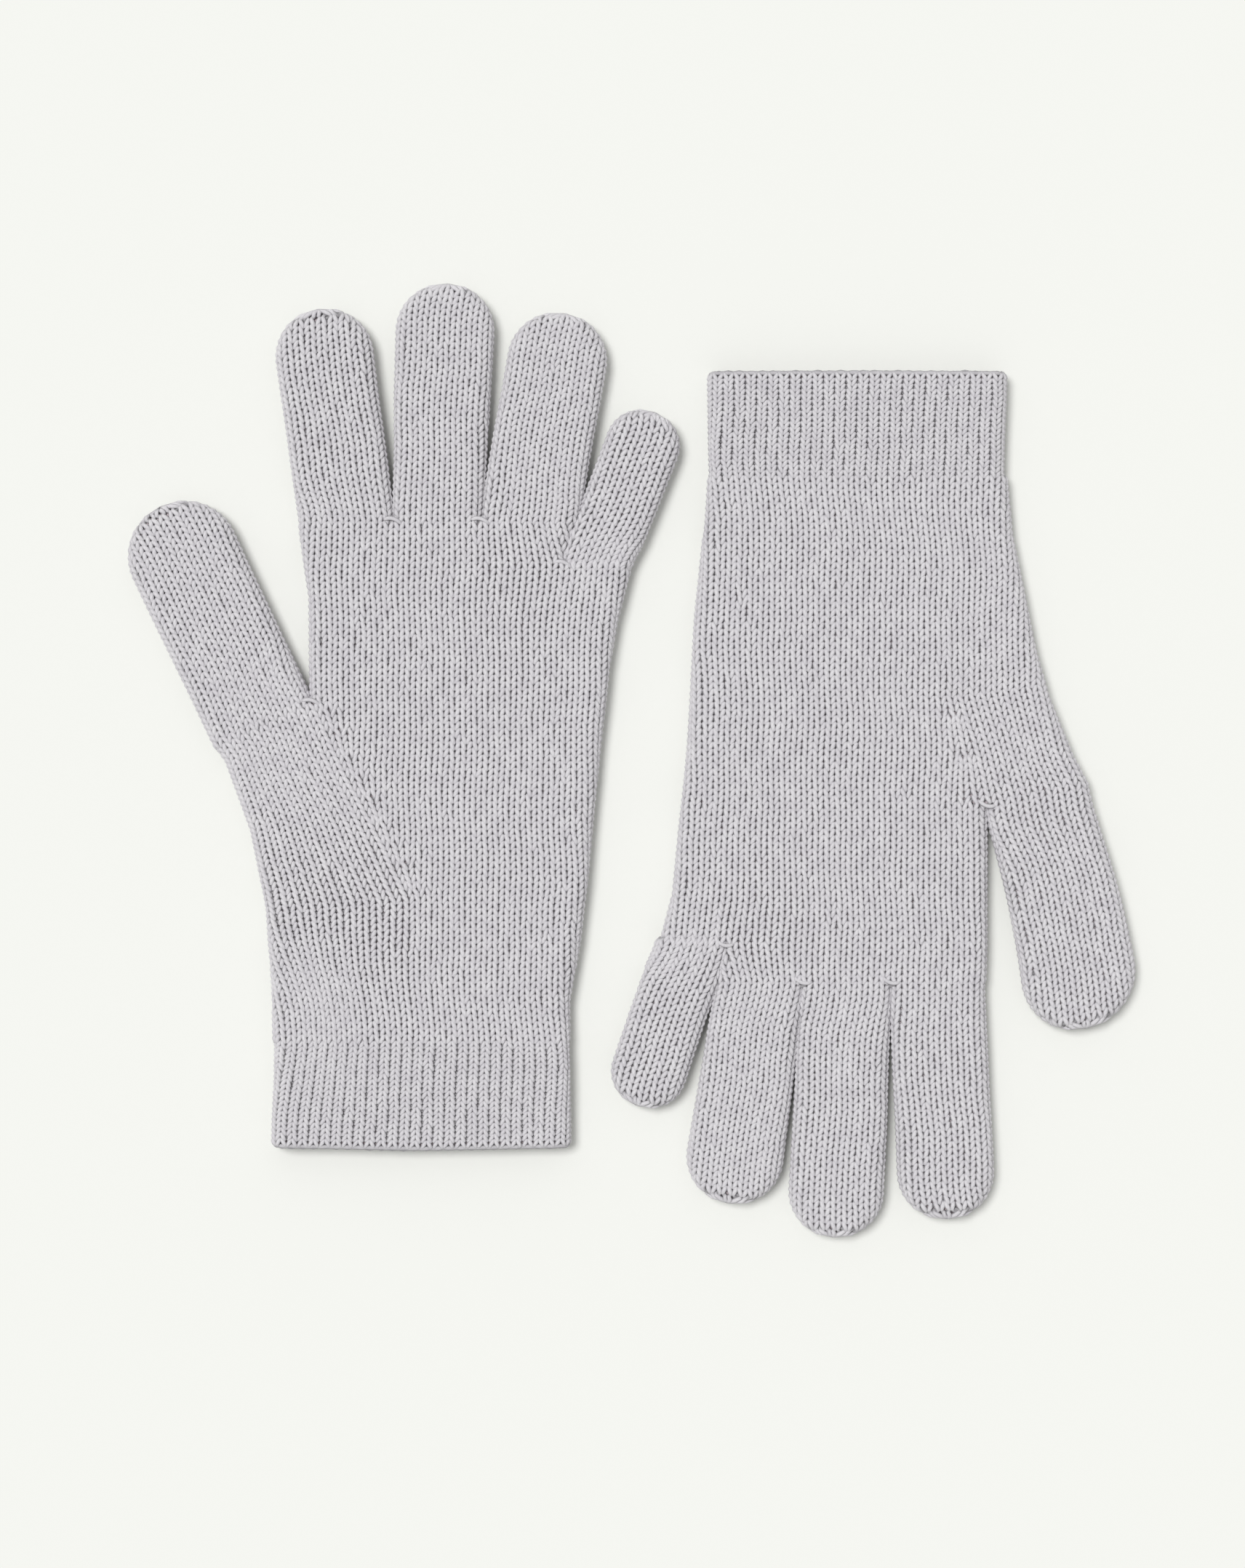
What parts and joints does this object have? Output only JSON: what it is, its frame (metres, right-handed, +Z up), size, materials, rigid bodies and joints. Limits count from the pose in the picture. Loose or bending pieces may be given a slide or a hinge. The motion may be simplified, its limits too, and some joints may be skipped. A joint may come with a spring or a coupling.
{
  "type": "pair of knitted gloves",
  "caption": "Pair of fine-gauge knitted wool gloves with ribbed cuffs, lying flat; hollow hands, and fingers and thumbs that fold.",
  "frame": {"origin": "on the table at the middle of the pair, under the bounding box's centre", "axes": "+Z up from the table; +Y from the left glove's cuff towards its fingertips; +X from the left glove to the right glove"},
  "size_m": [0.2828, 0.2688, 0.009],
  "materials": {
    "hand_knit": "soft 2-ply wool, stockinette face out, pale lavender-grey",
    "rib_knit": "same yarn in a tight rib, slightly darker between the ribs",
    "thumb_knit": "same yarn, stockinette knitted along the thumb",
    "finger_knit": "same yarn, stockinette knitted along each finger"
  },
  "bodies": {
    "left_hand": {"left_cuff": "rib_knit", "left_hand": "hand_knit"},
    "left_thumb_base": {"left_thumb_base": "thumb_knit"},
    "left_thumb_tip": {"left_thumb_tip": "thumb_knit"},
    "left_index_base": {"left_index_base": "finger_knit"},
    "left_index_tip": {"left_index_tip": "finger_knit"},
    "left_middle_base": {"left_middle_base": "finger_knit"},
    "left_middle_tip": {"left_middle_tip": "finger_knit"},
    "left_ring_base": {"left_ring_base": "finger_knit"},
    "left_ring_tip": {"left_ring_tip": "finger_knit"},
    "left_little_base": {"left_little_base": "finger_knit"},
    "left_little_tip": {"left_little_tip": "finger_knit"},
    "right_hand": {"right_cuff": "rib_knit", "right_hand": "hand_knit"},
    "right_thumb_base": {"right_thumb_base": "thumb_knit"},
    "right_thumb_tip": {"right_thumb_tip": "thumb_knit"},
    "right_index_base": {"right_index_base": "finger_knit"},
    "right_index_tip": {"right_index_tip": "finger_knit"},
    "right_middle_base": {"right_middle_base": "finger_knit"},
    "right_middle_tip": {"right_middle_tip": "finger_knit"},
    "right_ring_base": {"right_ring_base": "finger_knit"},
    "right_ring_tip": {"right_ring_tip": "finger_knit"},
    "right_little_base": {"right_little_base": "finger_knit"},
    "right_little_tip": {"right_little_tip": "finger_knit"}
  },
  "joints": [
    {"name": "left_thumb_root_fold", "type": "hinge", "parent": "left_hand", "child": "left_thumb_base", "pos_m": [-0.11111, 0.0262, 0.0045], "axis": [0.9001, 0.4356, 0], "range_deg": [0, 90]},
    {"name": "left_thumb_middle_fold", "type": "hinge", "parent": "left_thumb_base", "child": "left_thumb_tip", "pos_m": [-0.12171, 0.0481, 0.0045], "axis": [0.9001, 0.4356, 0], "range_deg": [0, 90]},
    {"name": "left_index_root_fold", "type": "hinge", "parent": "left_hand", "child": "left_index_base", "pos_m": [-0.08087, 0.077, 0.0045], "axis": [1, 0, 0], "range_deg": [0, 90]},
    {"name": "left_index_middle_fold", "type": "hinge", "parent": "left_index_base", "child": "left_index_tip", "pos_m": [-0.08436, 0.1024, 0.0045], "axis": [1, 0, 0], "range_deg": [0, 90]},
    {"name": "left_middle_root_fold", "type": "hinge", "parent": "left_hand", "child": "left_middle_base", "pos_m": [-0.05373, 0.077, 0.0045], "axis": [1, 0, 0], "range_deg": [0, 90]},
    {"name": "left_middle_middle_fold", "type": "hinge", "parent": "left_middle_base", "child": "left_middle_tip", "pos_m": [-0.05254, 0.1044, 0.0045], "axis": [1, 0, 0], "range_deg": [0, 90]},
    {"name": "left_ring_root_fold", "type": "hinge", "parent": "left_hand", "child": "left_ring_base", "pos_m": [-0.02681, 0.077, 0.0045], "axis": [1, 0, 0], "range_deg": [0, 90]},
    {"name": "left_ring_middle_fold", "type": "hinge", "parent": "left_ring_base", "child": "left_ring_tip", "pos_m": [-0.02337, 0.1004, 0.0045], "axis": [1, 0, 0], "range_deg": [0, 90]},
    {"name": "left_little_root_fold", "type": "hinge", "parent": "left_hand", "child": "left_little_base", "pos_m": [-0.00526, 0.0655, 0.0045], "axis": [1, 0, 0], "range_deg": [0, 90]},
    {"name": "left_little_middle_fold", "type": "hinge", "parent": "left_little_base", "child": "left_little_tip", "pos_m": [0.00099, 0.0822, 0.0045], "axis": [1, 0, 0], "range_deg": [0, 90]},
    {"name": "right_thumb_root_fold", "type": "hinge", "parent": "right_hand", "child": "right_thumb_base", "pos_m": [0.11744, -0.0256, 0.0045], "axis": [-0.9704, -0.2415, 0], "range_deg": [0, 90]},
    {"name": "right_thumb_middle_fold", "type": "hinge", "parent": "right_thumb_base", "child": "right_thumb_tip", "pos_m": [0.12344, -0.0497, 0.0045], "axis": [-0.9704, -0.2415, 0], "range_deg": [0, 90]},
    {"name": "right_index_root_fold", "type": "hinge", "parent": "right_hand", "child": "right_index_base", "pos_m": [0.08785, -0.0756, 0.0045], "axis": [-1, 0, 0], "range_deg": [0, 90]},
    {"name": "right_index_middle_fold", "type": "hinge", "parent": "right_index_base", "child": "right_index_tip", "pos_m": [0.08915, -0.1027, 0.0045], "axis": [-1, 0, 0], "range_deg": [0, 90]},
    {"name": "right_middle_root_fold", "type": "hinge", "parent": "right_hand", "child": "right_middle_base", "pos_m": [0.0611, -0.0756, 0.0045], "axis": [-1, 0, 0], "range_deg": [0, 90]},
    {"name": "right_middle_middle_fold", "type": "hinge", "parent": "right_middle_base", "child": "right_middle_tip", "pos_m": [0.05966, -0.1032, 0.0045], "axis": [-1, 0, 0], "range_deg": [0, 90]},
    {"name": "right_ring_root_fold", "type": "hinge", "parent": "right_hand", "child": "right_ring_base", "pos_m": [0.03548, -0.0756, 0.0045], "axis": [-1, 0, 0], "range_deg": [0, 90]},
    {"name": "right_ring_middle_fold", "type": "hinge", "parent": "right_ring_base", "child": "right_ring_tip", "pos_m": [0.03215, -0.0991, 0.0045], "axis": [-1, 0, 0], "range_deg": [0, 90]},
    {"name": "right_little_root_fold", "type": "hinge", "parent": "right_hand", "child": "right_little_base", "pos_m": [0.01426, -0.0632, 0.0045], "axis": [-1, 0, 0], "range_deg": [0, 90]},
    {"name": "right_little_middle_fold", "type": "hinge", "parent": "right_little_base", "child": "right_little_tip", "pos_m": [0.00837, -0.0808, 0.0045], "axis": [-1, 0, 0], "range_deg": [0, 90]},
    {"name": "right_glove_lift", "type": "slide", "parent": "left_hand", "child": "right_hand", "axis": [0, 0, 1], "range_m": [0, 0.12]}
  ]
}
